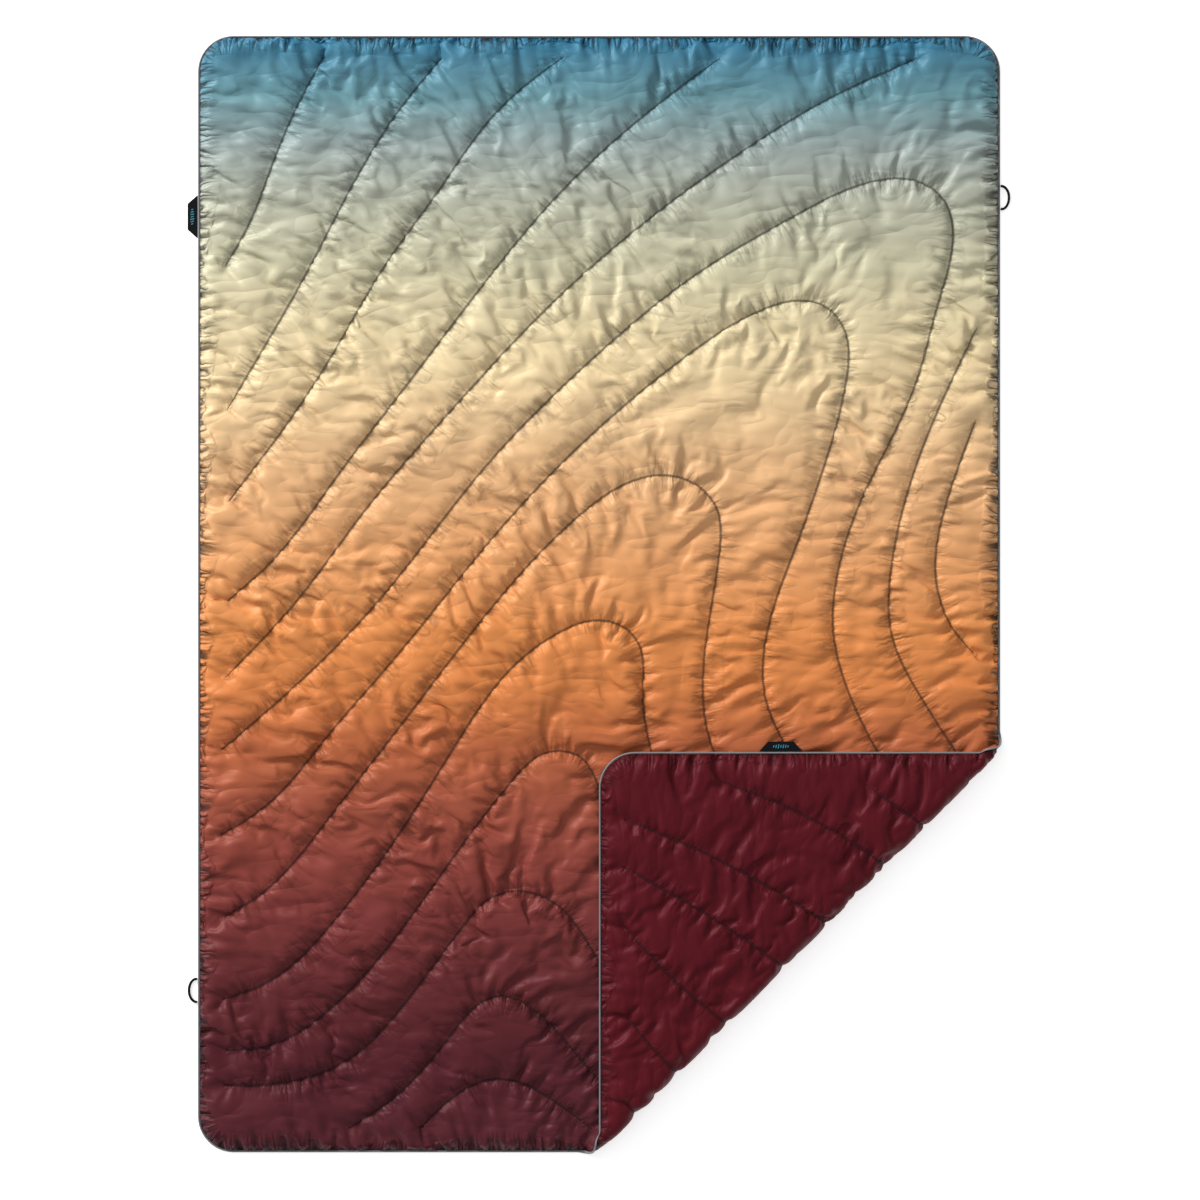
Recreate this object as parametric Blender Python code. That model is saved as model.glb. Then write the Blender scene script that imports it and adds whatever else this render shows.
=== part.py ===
"""Camp blanket: a quilted, insulated throw that lies face up with one corner folded over on to it.

Metres, +Z up. The blanket's middle is at X = Y = 0 and the floor is at Z = 0. Its long side runs
along Y. Outlines and seam lines are drawn on the flat, unfolded blanket. The folded corner is the
+X, -Y one: it is modelled flat and then turned over about the fold line.
"""
import math

import bmesh
import bpy
import numpy as np
from mathutils import Matrix, Vector
from mathutils.geometry import delaunay_2d_cdt

# Overall sizes
WIDTH = 1.340
LENGTH = 1.865
CORNER_RADIUS = 0.060
FOLD_LEG = 0.670          # how far along each edge from its corner the fold line starts
LOFT = 0.024              # thickness at the crown of a puff
SEAM_HEIGHT = 0.009       # height of the stitched lines above what the blanket lies on
DRAPE_REACH = 0.090       # over this distance the thin edge comes down on to what it lies on

# Layers
FABRIC = 0.0008           # each shell
PRESSED_FILL = 0.0012     # insulation left under a seam or at the edge
GAP = 0.0003              # between touching layers
PUFF_RISE = 0.040         # distance from a seam at which a puff reaches its full height
BEARINGS = ((-0.58, 0.87), (0.60, 0.85), (-0.58, -0.86), (0.13, -0.80), (0.61, -0.28), (0.11, 0.07))
BEARING_RADIUS = 0.080    # the blanket's weight comes down on the puffs this near a bearing
BEARING_FADE = 0.100      # past that the puffs lift off the floor over this distance
BEARING_LIFT = 0.0004     # by this much

# Edge piping, quilting thread
PIPING_DIAMETER = 0.0034
THREAD_WIDTH = 0.0012
THREAD_HEIGHT = 0.0006
THREAD_LIFT = 0.0004      # thread to the bottom of its valley
SEAM_END_TRIM = 0.002     # thread ends before the end of the pressed line

# Cord loops: one on each long edge, near opposite ends
LOOP_DIAMETER = 0.0045
LOOP_SPAN = 0.043
LOOP_REACH = 0.017
LOOP_FROM_END = 0.2705

# Folded webbing labels with a woven mark, one on each long edge
LABEL_ROOT = 0.071
LABEL_TIP = 0.043
LABEL_REACH = 0.017
LABEL_THICKNESS = 0.002
LABEL_FROM_END = 0.3025
MARK_LENGTH = 0.016
MARK_DEPTH = 0.005
MARK_HEIGHT = 0.0005

# Facet sizes
EDGE_STEP = 0.085
SEAM_STEP = 0.100
FOLD_STEP = 0.045
FINE_STEP = 0.004         # between the points of a line that distances are measured to
GRID_STEP = 0.090         # of the free points between the seams
POINT_SPACING = 0.046     # least distance between the free points of a layer
CLEAR_OF_SEAM = 0.030     # from a free point
CLEAR_OF_EDGE = 0.035
CLEAR_OF_FOLD = 0.030
ARC_STEPS = 4             # in each rounded corner
PIPING_SIDES = 6
CORD_SIDES = 8
LOOP_STEPS = 12
CORD_END_ANGLES = (75, 35)    # degrees round a cord end's cap, from its tip
LABEL_ROOT_ANGLES = (15, 50)  # the same at a label's root
ON_LINE = 0.0025          # a point this near a seam or the edge is pressed flat
SAME = 1e-6

# Quilting lines, in metres on a blanket of this size; they stretch with WIDTH and LENGTH.
DRAWN_WIDTH, DRAWN_LENGTH = 1.340, 1.865
SEAMS = {
    "01": [(-0.460, 0.895), (-0.511, 0.797), (-0.549, 0.704), (-0.583, 0.618), (-0.623, 0.547)],
    "02": [(-0.263, 0.894), (-0.330, 0.811), (-0.400, 0.702), (-0.484, 0.542), (-0.558, 0.412),
           (-0.620, 0.308)],
    "03": [(-0.059, 0.897), (-0.172, 0.802), (-0.265, 0.676), (-0.358, 0.546), (-0.444, 0.400),
           (-0.544, 0.251), (-0.618, 0.155)],
    "04": [(0.201, 0.894), (0.055, 0.781), (-0.075, 0.658), (-0.200, 0.507), (-0.335, 0.330),
           (-0.442, 0.189), (-0.553, 0.047), (-0.620, -0.011)],
    "05": [(0.526, 0.891), (0.403, 0.836), (0.254, 0.748), (0.101, 0.639), (-0.075, 0.488),
           (-0.252, 0.300), (-0.395, 0.133), (-0.502, -0.009), (-0.623, -0.139)],
    "06": [(-0.628, -0.259), (-0.488, -0.136), (-0.358, 0.000), (-0.198, 0.202), (0.000, 0.402),
           (0.171, 0.539), (0.329, 0.632), (0.463, 0.689), (0.533, 0.687), (0.577, 0.653),
           (0.590, 0.604), (0.566, 0.486), (0.528, 0.351), (0.436, 0.154), (0.394, 0.012),
           (0.390, -0.053), (0.424, -0.183), (0.466, -0.266), (0.544, -0.388), (0.617, -0.492)],
    "07": [(-0.630, -0.402), (-0.553, -0.351), (-0.460, -0.246), (-0.344, -0.111), (-0.172, 0.100),
           (0.000, 0.277), (0.138, 0.391), (0.268, 0.472), (0.338, 0.489), (0.380, 0.477),
           (0.411, 0.435), (0.413, 0.360), (0.375, 0.212), (0.324, 0.068), (0.278, -0.076),
           (0.280, -0.183), (0.306, -0.243), (0.360, -0.325), (0.478, -0.454), (0.544, -0.552),
           (0.599, -0.669), (0.621, -0.731)],
    "08": [(-0.625, -0.539), (-0.562, -0.499), (-0.456, -0.381), (-0.326, -0.213), (-0.154, 0.007),
           (-0.028, 0.135), (0.041, 0.182), (0.100, 0.198), (0.157, 0.185), (0.194, 0.147),
           (0.200, 0.063), (0.179, -0.076), (0.179, -0.220), (0.224, -0.330), (0.300, -0.440),
           (0.382, -0.550), (0.464, -0.682), (0.511, -0.775), (0.559, -0.891)],
    "09": [(-0.627, -0.676), (-0.562, -0.652), (-0.437, -0.539), (-0.330, -0.395), (-0.228, -0.234),
           (-0.149, -0.127), (-0.066, -0.064), (0.000, -0.044), (0.050, -0.062), (0.071, -0.097),
           (0.073, -0.150), (0.088, -0.264), (0.140, -0.380), (0.216, -0.493), (0.310, -0.622),
           (0.397, -0.747), (0.480, -0.894)],
    "10": [(-0.620, -0.762), (-0.548, -0.752), (-0.451, -0.694), (-0.330, -0.560), (-0.219, -0.406),
           (-0.149, -0.316), (-0.084, -0.264), (-0.033, -0.271), (0.000, -0.322), (0.048, -0.430),
           (0.120, -0.570), (0.216, -0.716), (0.306, -0.822), (0.381, -0.891)],
    "11": [(-0.625, -0.820), (-0.525, -0.815), (-0.414, -0.773), (-0.335, -0.696), (-0.228, -0.555),
           (-0.177, -0.505), (-0.126, -0.496), (-0.075, -0.515), (0.000, -0.613), (0.060, -0.700),
           (0.134, -0.799), (0.230, -0.887)],
    "12": [(-0.418, -0.891), (-0.340, -0.838), (-0.237, -0.722), (-0.191, -0.678), (-0.163, -0.671),
           (-0.107, -0.696), (0.000, -0.810), (0.085, -0.885)],
    "13": [(-0.296, -0.889), (-0.224, -0.826), (-0.177, -0.809), (-0.098, -0.831), (-0.012, -0.893)],
    "14": [(0.630, 0.442), (0.579, 0.337), (0.512, 0.161), (0.486, 0.031), (0.488, -0.067),
           (0.535, -0.169), (0.612, -0.289)],
    "15": [(0.628, 0.287), (0.575, 0.137), (0.561, 0.035), (0.593, -0.062), (0.625, -0.099)],
}

# Colours (linear RGB): the shell's print seen as one middle tone, its plain reverse, trims
FACE_COLOUR = (0.62, 0.31, 0.11)
REVERSE_COLOUR = (0.09, 0.010, 0.014)
FILL_COLOUR = (0.85, 0.85, 0.83)
PIPING_COLOUR = (0.33, 0.33, 0.34)
THREAD_COLOUR = (0.10, 0.045, 0.03)
CORD_COLOUR = (0.008, 0.008, 0.009)
WEBBING_COLOUR = (0.012, 0.012, 0.013)
MARK_COLOUR = (0.06, 0.33, 0.38)

HALF_WIDTH, HALF_LENGTH = WIDTH / 2, LENGTH / 2
PIPING_RADIUS = PIPING_DIAMETER / 2
SHELL_INSET = PIPING_DIAMETER + GAP                   # shells stop inside the piping
HALF_PRESSED = FABRIC + GAP + PRESSED_FILL / 2        # half the thickness at a seam
EDGE_HEIGHT = HALF_PRESSED + GAP                      # of the edge's middle, as it lies
LOOP_HEIGHT = LOOP_DIAMETER / 2 + GAP
FOLD_AT = HALF_WIDTH + HALF_LENGTH - FOLD_LEG         # the fold line is x - y = FOLD_AT
FOLD_AXIS_HEIGHT = LOFT + GAP                         # the corner lies 2 * GAP above the panel


def material(name, colour, roughness):
    made = bpy.data.materials.new(name)
    made.use_nodes = True
    shader = made.node_tree.nodes["Principled BSDF"]
    shader.inputs["Base Color"].default_value = (*colour, 1.0)
    shader.inputs["Roughness"].default_value = roughness
    shader.inputs["Metallic"].default_value = 0.0
    made.diffuse_color = (*colour, 1.0)
    return made


def add_object(name, bm, surface, parent=None):
    mesh = bpy.data.meshes.new(name)
    bmesh.ops.recalc_face_normals(bm, faces=bm.faces[:])
    bm.to_mesh(mesh)
    bm.free()
    mesh.materials.append(surface)
    made = bpy.data.objects.new(name, mesh)
    bpy.context.scene.collection.objects.link(made)
    if parent:
        made.parent = parent
        made.matrix_parent_inverse = parent.matrix_world.inverted()
    return made


# --- lines on the flat blanket ---------------------------------------------------------------

def smooth_line(points, step=FINE_STEP):
    """A natural cubic spline through the points, read at about every step."""
    points = np.array(points, float)
    along = np.concatenate([[0], np.cumsum(np.hypot(*np.diff(points, axis=0).T))])
    h = np.diff(along)
    n = len(points)
    system, right = np.eye(n), np.zeros((n, 2))
    for i in range(1, n - 1):
        system[i, i - 1:i + 2] = h[i - 1], 2 * (h[i - 1] + h[i]), h[i]
        right[i] = 6 * ((points[i + 1] - points[i]) / h[i] - (points[i] - points[i - 1]) / h[i - 1])
    bend = np.linalg.solve(system, right)
    at = np.linspace(0, along[-1], int(along[-1] / step) + 2)
    i = np.clip(np.searchsorted(along, at, side="right") - 1, 0, n - 2)
    a, b, width = (along[i + 1] - at)[:, None], (at - along[i])[:, None], h[i][:, None]
    curve = (bend[i] * a ** 3 + bend[i + 1] * b ** 3) / (6 * width)
    curve += (points[i] / width - bend[i] * width / 6) * a
    return curve + (points[i + 1] / width - bend[i + 1] * width / 6) * b


def seam_line(points):
    scale = np.array([WIDTH / DRAWN_WIDTH, LENGTH / DRAWN_LENGTH])
    return smooth_line(np.array(points) * scale)


def beyond_fold(points):
    """How far each point lies past the fold line, on the folded corner's side."""
    points = np.atleast_2d(points)
    return (points[:, 0] - points[:, 1] - FOLD_AT) / math.sqrt(2)


def spaced(line, step):
    """The line's two ends and evenly spaced points between them, at most a step apart."""
    along = np.concatenate([[0], np.cumsum(np.hypot(*np.diff(line, axis=0).T))])
    at = np.linspace(0, along[-1], max(2, math.ceil(along[-1] / step) + 1))
    return np.stack([np.interp(at, along, line[:, k]) for k in (0, 1)], axis=1)


def outline(inset):
    """The rounded outline, anticlockwise from the middle of the right edge, not closed."""
    half_x, half_y, radius = HALF_WIDTH - inset, HALF_LENGTH - inset, CORNER_RADIUS - inset
    line = [(half_x, 0.0)]
    for quarter, (sign_x, sign_y) in enumerate([(1, 1), (-1, 1), (-1, -1), (1, -1)]):
        centre = np.array([sign_x * (half_x - radius), sign_y * (half_y - radius)])
        for k in range(ARC_STEPS + 1):
            angle = (quarter + k / ARC_STEPS) * math.pi / 2
            line.append(tuple(centre + radius * np.array([math.cos(angle), math.sin(angle)])))
    return np.array(line)


def outline_part(inset, side, clear):
    """The stretch of the outline on one side of the fold line, from one end of the fold line to
    the other, stopping `clear` short of it. side is -1 for the panel and 1 for the corner."""
    whole = outline(inset)
    whole = np.vstack([whole, whole[:1]])
    dense = np.vstack([spaced(whole[i:i + 2], FINE_STEP)[:-1] for i in range(len(whole) - 1)])
    keep = side * beyond_fold(dense) > clear
    start = int(np.flatnonzero(keep & ~np.roll(keep, 1))[0])
    run = np.roll(dense, -start, axis=0)[:int(keep.sum())]
    ends = [run[0], run[-1]]
    for k, end in enumerate(ends):
        short = float(side * beyond_fold(end)[0] - clear) * math.sqrt(2)
        on_long_edge = abs(end[0]) > HALF_WIDTH - inset - SAME
        ends[k] = end + side * short * np.array([0.0, 1.0] if on_long_edge else [-1.0, 0.0])
    run = np.vstack([ends[0], run, ends[1]])
    # keep the arcs' own points, and even steps along the straight edges
    turning = [0]
    for i in range(1, len(run) - 1):
        a, b = run[i] - run[i - 1], run[i + 1] - run[i]
        if abs(a[0] * b[1] - a[1] * b[0]) > SAME * FINE_STEP:
            turning.append(i)
    turning.append(len(run) - 1)
    kept = [spaced(run[i:j + 1], EDGE_STEP)[:-1] for i, j in zip(turning, turning[1:])]
    return np.vstack(kept + [run[-1:]])


def seam_part(line, side, clear):
    """The stretch of a seam on one side of the fold line, or None if it has none there."""
    keep = side * beyond_fold(line) > clear
    if not keep.any():
        return None
    run = line[keep]
    if keep.all():
        return run
    first, last = np.flatnonzero(keep)[[0, -1]]
    inner, outer = (first, first - 1) if first else (last, last + 1)
    a, b = side * beyond_fold(line[[inner, outer]]) - clear
    crossing = line[inner] + (line[outer] - line[inner]) * a / (a - b)
    return np.vstack([crossing, run]) if first else np.vstack([run, crossing])


def distance_to(points, lines):
    """Each point's distance to the nearest of some densely sampled lines."""
    cloud = np.vstack(lines)
    return np.array([np.hypot(*(cloud - p).T).min() for p in points])


def puff(distance):
    """0 at a seam and 1 at the crown."""
    share = np.clip(np.asarray(distance) / PUFF_RISE, 0, 1)
    return np.sqrt(share * (2 - share))


def edge_line():
    """The whole outline of the shells, closed, with closely spaced points."""
    whole = outline(SHELL_INSET)
    return spaced(np.vstack([whole, whole[:1]]), FINE_STEP)


def middle_height(points, side):
    """Height of the layers' middle where they are pressed flat, on the unfolded blanket. The
    panel's edge lies on the floor. The corner's edge lies on the panel once it is turned over."""
    share = np.clip(distance_to(points, [edge_line()]) / DRAPE_REACH, 0, 1)
    share = share * share * (3 - 2 * share)
    edge = EDGE_HEIGHT if side < 0 else LOFT - EDGE_HEIGHT
    return edge + (SEAM_HEIGHT - edge) * share


def top_height(share, middle):
    return middle + HALF_PRESSED + (LOFT - middle - HALF_PRESSED) * share


def bottom_height(share, middle, points, side):
    lift = np.full(len(points), 0.0)
    if side < 0:
        spots = np.array(BEARINGS)
        away = np.array([np.hypot(*(spots - p).T).min() for p in points])
        lift = BEARING_LIFT * np.clip((away - BEARING_RADIUS) / BEARING_FADE, 0, 1)
    return (middle - HALF_PRESSED) * (1 - share) + lift * share


# --- layers ----------------------------------------------------------------------------------

def triangulate(side, seams):
    """Flat points, triangles and boundary loop of the panel (-1) or the corner (1)."""
    edge = outline_part(SHELL_INSET, side, GAP)
    lines = {name: seam_part(line, side, GAP) for name, line in seams.items()}
    lines = {name: spaced(line, SEAM_STEP) for name, line in lines.items() if line is not None}

    crossings = [p for line in lines.values() for p in (line[0], line[-1])
                 if abs(side * beyond_fold(p)[0] - GAP) < SAME]
    start, end = edge[-1], edge[0]
    unit = (end - start) / np.hypot(*(end - start))
    fold_length = float(np.hypot(*(end - start)))
    stops = sorted(float((p - start) @ unit) for p in crossings)
    fold, bounds = [], [0.0] + stops + [fold_length]
    for a, b in zip(bounds, bounds[1:]):
        count = max(1, round((b - a) / FOLD_STEP))
        fold += [start + unit * (a + (b - a) * k / count) for k in range(count)]
    boundary = [tuple(p) for p in edge[:-1]] + [tuple(p) for p in fold]

    points, constraints = list(boundary), []
    for line in lines.values():
        ids = []
        for p in line:
            same = [i for i, q in enumerate(points) if math.dist(p, q) < SAME]
            ids.append(same[0] if same else len(points))
            if not same:
                points.append(tuple(p))
        constraints += list(zip(ids, ids[1:]))

    # rows of free points beside each seam and inside the edge, where a puff is at full height
    dense_seams = [spaced(line, FINE_STEP) for line in lines.values()]
    outer = [spaced(edge, FINE_STEP)]
    rows = []
    for line in list(lines.values()) + [edge]:
        middle = (line[1:] + line[:-1]) / 2
        along = line[1:] - line[:-1]
        across = np.stack([-along[:, 1], along[:, 0]], axis=1) / np.hypot(*along.T)[:, None]
        rows += [middle + across * PUFF_RISE, middle - across * PUFF_RISE]
    candidates = list(np.vstack(rows))
    for i in range(int(WIDTH / GRID_STEP) + 1):
        for j in range(int(LENGTH / GRID_STEP) + 1):
            candidates.append(GRID_STEP * np.array([i, j]) - [HALF_WIDTH, HALF_LENGTH])
    taken = [np.array(p) for p in points]
    for p in candidates:
        outside = np.any(np.abs(p) > np.array([HALF_WIDTH, HALF_LENGTH]) - CLEAR_OF_EDGE)
        if outside or side * beyond_fold(p)[0] < CLEAR_OF_FOLD:
            continue
        if distance_to([p], outer)[0] < CLEAR_OF_EDGE:
            continue
        if distance_to([p], dense_seams)[0] < CLEAR_OF_SEAM:
            continue
        if np.hypot(*(np.array(taken) - p).T).min() < POINT_SPACING:
            continue
        taken.append(p)
        points.append(tuple(p))

    made = delaunay_2d_cdt([Vector(p) for p in points], constraints,
                           [list(range(len(boundary)))], 1, SAME / 10)
    return np.array([tuple(v) for v in made[0]]), [tuple(f) for f in made[2]]


def layer(flat, triangles, low, high):
    """A closed solid between two height fields over the same triangles."""
    bm = bmesh.new()
    bottom = [bm.verts.new((x, y, z)) for (x, y), z in zip(flat, low)]
    top = [bm.verts.new((x, y, z)) for (x, y), z in zip(flat, high)]
    sides = {}
    for a, b, c in triangles:
        bm.faces.new((top[a], top[b], top[c]))
        bm.faces.new((bottom[c], bottom[b], bottom[a]))
        for pair in ((a, b), (b, c), (c, a)):
            if pair[::-1] in sides:
                del sides[pair[::-1]]
            else:
                sides[pair] = True
    for a, b in sides:
        bm.faces.new((top[b], top[a], bottom[a], bottom[b]))
    bmesh.ops.triangulate(bm, faces=[f for f in bm.faces if len(f.verts) > 3])
    return bm


def swept(path, ring):
    """A ring of (across, up) points carried along a path of 3D points, kept upright in Z.
    ring may be a list of rings, one for each point of the path."""
    path = np.asarray(path, float)
    along = np.gradient(path, axis=0)
    along /= np.linalg.norm(along, axis=1)[:, None]
    bm, rows = bmesh.new(), []
    for k, (point, forward) in enumerate(zip(path, along)):
        across = np.array([forward[1], -forward[0], 0.0])
        across /= np.linalg.norm(across)
        this = ring[k] if isinstance(ring[0], list) else ring
        rows.append([bm.verts.new(point + across * a + np.array([0, 0, up])) for a, up in this])
    for lower, upper in zip(rows, rows[1:]):
        for i in range(len(lower)):
            j = (i + 1) % len(lower)
            bm.faces.new((lower[i], lower[j], upper[j], upper[i]))
    bm.faces.new(rows[0][::-1])
    bm.faces.new(rows[-1])
    bmesh.ops.triangulate(bm, faces=bm.faces[:])
    return bm


def round_ring(radius, sides):
    turn = 2 * math.pi / sides
    return [(radius * math.cos(turn * (k + 0.5)), radius * math.sin(turn * (k + 0.5)))
            for k in range(sides)]


# --- pieces ----------------------------------------------------------------------------------

def quilted_layers(part, side, seams, surfaces, parent):
    flat, triangles = triangulate(side, seams)
    # Seams are measured to a little past the fold line, so that the puffs run on across it.
    lines = [seam_part(line, side, -PUFF_RISE) for line in seams.values()]
    lines = [spaced(line, FINE_STEP) for line in lines if line is not None]
    distance = distance_to(flat, lines + [edge_line()])
    share = np.where(distance < ON_LINE, 0.0, puff(distance))
    middle = middle_height(flat, side)
    bottom = bottom_height(share, middle, flat, side)
    top = top_height(share, middle)
    add_object(f"{part}_back_shell", layer(flat, triangles, bottom, bottom + FABRIC),
               surfaces["reverse"], parent)
    add_object(f"{part}_insulation",
               layer(flat, triangles, bottom + FABRIC + GAP, top - FABRIC - GAP),
               surfaces["fill"], parent)
    add_object(f"{part}_face_shell", layer(flat, triangles, top - FABRIC, top),
               surfaces["face"], parent)


def quilting_threads(part, side, seams, surface, parent):
    half = THREAD_WIDTH / 2
    ring = [(-half, 0.0), (half, 0.0), (half, THREAD_HEIGHT), (-half, THREAD_HEIGHT)]
    for name, line in seams.items():
        run = seam_part(line, side, GAP)
        if run is None:
            continue
        run = spaced(run, SEAM_STEP)
        run = np.column_stack([run, top_height(0, middle_height(run, side)) + THREAD_LIFT])
        for end, inward in ((0, 1), (-1, -2)):
            direction = run[inward] - run[end]
            run[end] += direction / np.linalg.norm(direction) * SEAM_END_TRIM
        add_object(f"{part}_quilt_seam_{name}", swept(run, ring), surface, parent)


def edge_piping(part, side, surface, parent):
    line = outline_part(PIPING_RADIUS, side, PIPING_RADIUS + GAP)
    height = EDGE_HEIGHT if side < 0 else LOFT - EDGE_HEIGHT
    path = np.column_stack([line, np.full(len(line), height)])
    add_object(f"{part}_edge_piping", swept(path, round_ring(PIPING_RADIUS, PIPING_SIDES)),
               surface, parent)


def cord_loop(name, side, y, surface, parent):
    """A half-round loop of cord. Its two ends are round, on the line that it swings about."""
    radius = LOOP_DIAMETER / 2
    reach, half_span = LOOP_REACH - 2 * radius - GAP, LOOP_SPAN / 2 - radius
    root = HALF_WIDTH + GAP + radius
    caps = [(-radius * math.sin(angle), radius * math.cos(angle))
            for angle in map(math.radians, CORD_END_ANGLES)]
    stops = [(out, -half_span, size) for out, size in caps]
    for k in range(LOOP_STEPS + 1):
        angle = math.pi * k / LOOP_STEPS
        stops.append((reach * math.sin(angle), -half_span * math.cos(angle), radius))
    stops += [(out, half_span, size) for out, size in reversed(caps)]
    path = [(side * (root + out), y + along, LOOP_HEIGHT) for out, along, _ in stops]
    rings = [round_ring(size, CORD_SIDES) for _, _, size in stops]
    empty = hinge_empty(name, (side * root, y, LOOP_HEIGHT), parent)
    add_object(name, swept(path, rings), surface, empty)


def hinge_empty(name, place, parent):
    made = bpy.data.objects.new(name + "_hinge", None)
    bpy.context.scene.collection.objects.link(made)
    made.location = place
    if parent:
        made.parent = parent
        made.matrix_parent_inverse = parent.matrix_world.inverted()
    bpy.context.view_layer.update()
    return made


def webbing_label(name, side, y, height, mark_side, surfaces, parent):
    """Webbing folded flat, wider at the edge it is sewn into, with a small woven mark above it
    (mark_side 1) or below it (-1)."""
    half = LABEL_THICKNESS / 2
    root = HALF_WIDTH + GAP + half
    tip = HALF_WIDTH + LABEL_REACH
    rows = [(root - half * math.cos(angle), half * math.sin(angle))
            for angle in map(math.radians, LABEL_ROOT_ANGLES)]
    rows += [(root, half), (tip, half)]
    bm, made = bmesh.new(), []
    for x, z in rows:
        share = max(0.0, (x - root) / (tip - root))
        wide = (LABEL_ROOT + (LABEL_TIP - LABEL_ROOT) * share) / 2
        made.append([bm.verts.new((side * x, y + dy, height + dz))
                     for dy, dz in ((-wide, -z), (wide, -z), (wide, z), (-wide, z))])
    for lower, upper in zip(made, made[1:]):
        for i in range(4):
            j = (i + 1) % 4
            bm.faces.new((lower[i], lower[j], upper[j], upper[i]))
    bm.faces.new(made[0][::-1])
    bm.faces.new(made[-1])
    bmesh.ops.triangulate(bm, faces=bm.faces[:])
    empty = hinge_empty(name, (side * root, y, height), parent)
    add_object(name, bm, surfaces["webbing"], empty)

    mark = bmesh.new()
    bmesh.ops.create_cube(mark, size=1.0)
    lift = mark_side * (half + GAP + MARK_HEIGHT / 2)
    centre = Vector((side * (root + tip) / 2, y, height + lift))
    bmesh.ops.transform(mark, verts=mark.verts[:], matrix=Matrix.Translation(centre)
                        @ Matrix.Diagonal((MARK_DEPTH, MARK_LENGTH, MARK_HEIGHT, 1.0)))
    add_object(name + "_mark", mark, surfaces["mark"], empty)


def build():
    for old in list(bpy.data.objects):
        bpy.data.objects.remove(old, do_unlink=True)
    surfaces = {
        "face": material("printed_face_fabric", FACE_COLOUR, 0.45),
        "reverse": material("plain_reverse_fabric", REVERSE_COLOUR, 0.50),
        "fill": material("polyester_fill", FILL_COLOUR, 0.95),
        "piping": material("grey_piping", PIPING_COLOUR, 0.70),
        "thread": material("quilting_thread", THREAD_COLOUR, 0.80),
        "cord": material("black_loop_cord", CORD_COLOUR, 0.75),
        "webbing": material("black_webbing", WEBBING_COLOUR, 0.80),
        "mark": material("woven_label_mark", MARK_COLOUR, 0.75),
    }
    # The corner's pieces are made flat under this empty, whose X axis is the fold line.
    middle = (HALF_WIDTH - FOLD_LEG / 2, -HALF_LENGTH + FOLD_LEG / 2, FOLD_AXIS_HEIGHT)
    corner = bpy.data.objects.new("corner_fold_hinge", None)
    bpy.context.scene.collection.objects.link(corner)
    corner.matrix_world = Matrix.Translation(middle) @ Matrix.Rotation(math.radians(45), 4, "Z")
    bpy.context.view_layer.update()

    seams = {name: seam_line(points) for name, points in SEAMS.items()}
    for part, side, parent in (("panel", -1, None), ("corner", 1, corner)):
        quilted_layers(part, side, seams, surfaces, parent)
        quilting_threads(part, side, seams, surfaces["thread"], parent)
        edge_piping(part, side, surfaces["piping"], parent)

    cord_loop("right_cord_loop", 1, HALF_LENGTH - LOOP_FROM_END, surfaces["cord"], None)
    cord_loop("left_cord_loop", -1, -HALF_LENGTH + LOOP_FROM_END, surfaces["cord"], None)
    webbing_label("left_label", -1, HALF_LENGTH - LABEL_FROM_END, EDGE_HEIGHT, 1,
                  surfaces, None)
    webbing_label("right_label", 1, -HALF_LENGTH + LABEL_FROM_END, LOFT - EDGE_HEIGHT, -1,
                  surfaces, corner)

    # Turn the corner over on to the panel.
    corner.matrix_world = corner.matrix_world @ Matrix.Rotation(math.pi, 4, "X")
    bpy.context.view_layer.update()


build()
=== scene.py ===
"""Camp blanket: the looks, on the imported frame. Metres; the blanket lies face up on the floor, long
side along Y, with its lower right corner turned over on top of it."""
import math

import bpy
import numpy as np
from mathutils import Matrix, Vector
from mathutils.geometry import delaunay_2d_cdt
from mathutils.kdtree import KDTree


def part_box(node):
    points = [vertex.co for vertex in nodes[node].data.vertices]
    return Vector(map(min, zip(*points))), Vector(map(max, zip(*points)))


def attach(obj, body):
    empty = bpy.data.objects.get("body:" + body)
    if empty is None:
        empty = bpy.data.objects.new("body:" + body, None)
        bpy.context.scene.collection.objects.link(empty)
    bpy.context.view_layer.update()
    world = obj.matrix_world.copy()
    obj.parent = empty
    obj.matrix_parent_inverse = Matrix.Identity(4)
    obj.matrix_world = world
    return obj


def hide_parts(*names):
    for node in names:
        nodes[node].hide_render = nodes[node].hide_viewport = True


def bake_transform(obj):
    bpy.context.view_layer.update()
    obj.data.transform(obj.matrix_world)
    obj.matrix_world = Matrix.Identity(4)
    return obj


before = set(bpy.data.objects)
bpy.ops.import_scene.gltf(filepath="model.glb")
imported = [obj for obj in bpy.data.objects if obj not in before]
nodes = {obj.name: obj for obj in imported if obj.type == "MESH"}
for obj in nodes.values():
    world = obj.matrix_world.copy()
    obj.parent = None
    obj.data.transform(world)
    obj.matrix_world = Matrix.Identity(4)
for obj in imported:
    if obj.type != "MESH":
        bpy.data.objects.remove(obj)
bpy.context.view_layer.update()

# --- The cut and the quilting ------------------------------------------------------------------
# Two plain rectangles of taffeta with rounded corners, a polyester sheet between them, and
# fifteen lines of quilting drawn like the height lines of a map. All of it is laid out flat
# here, before the corner is turned over.

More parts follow.
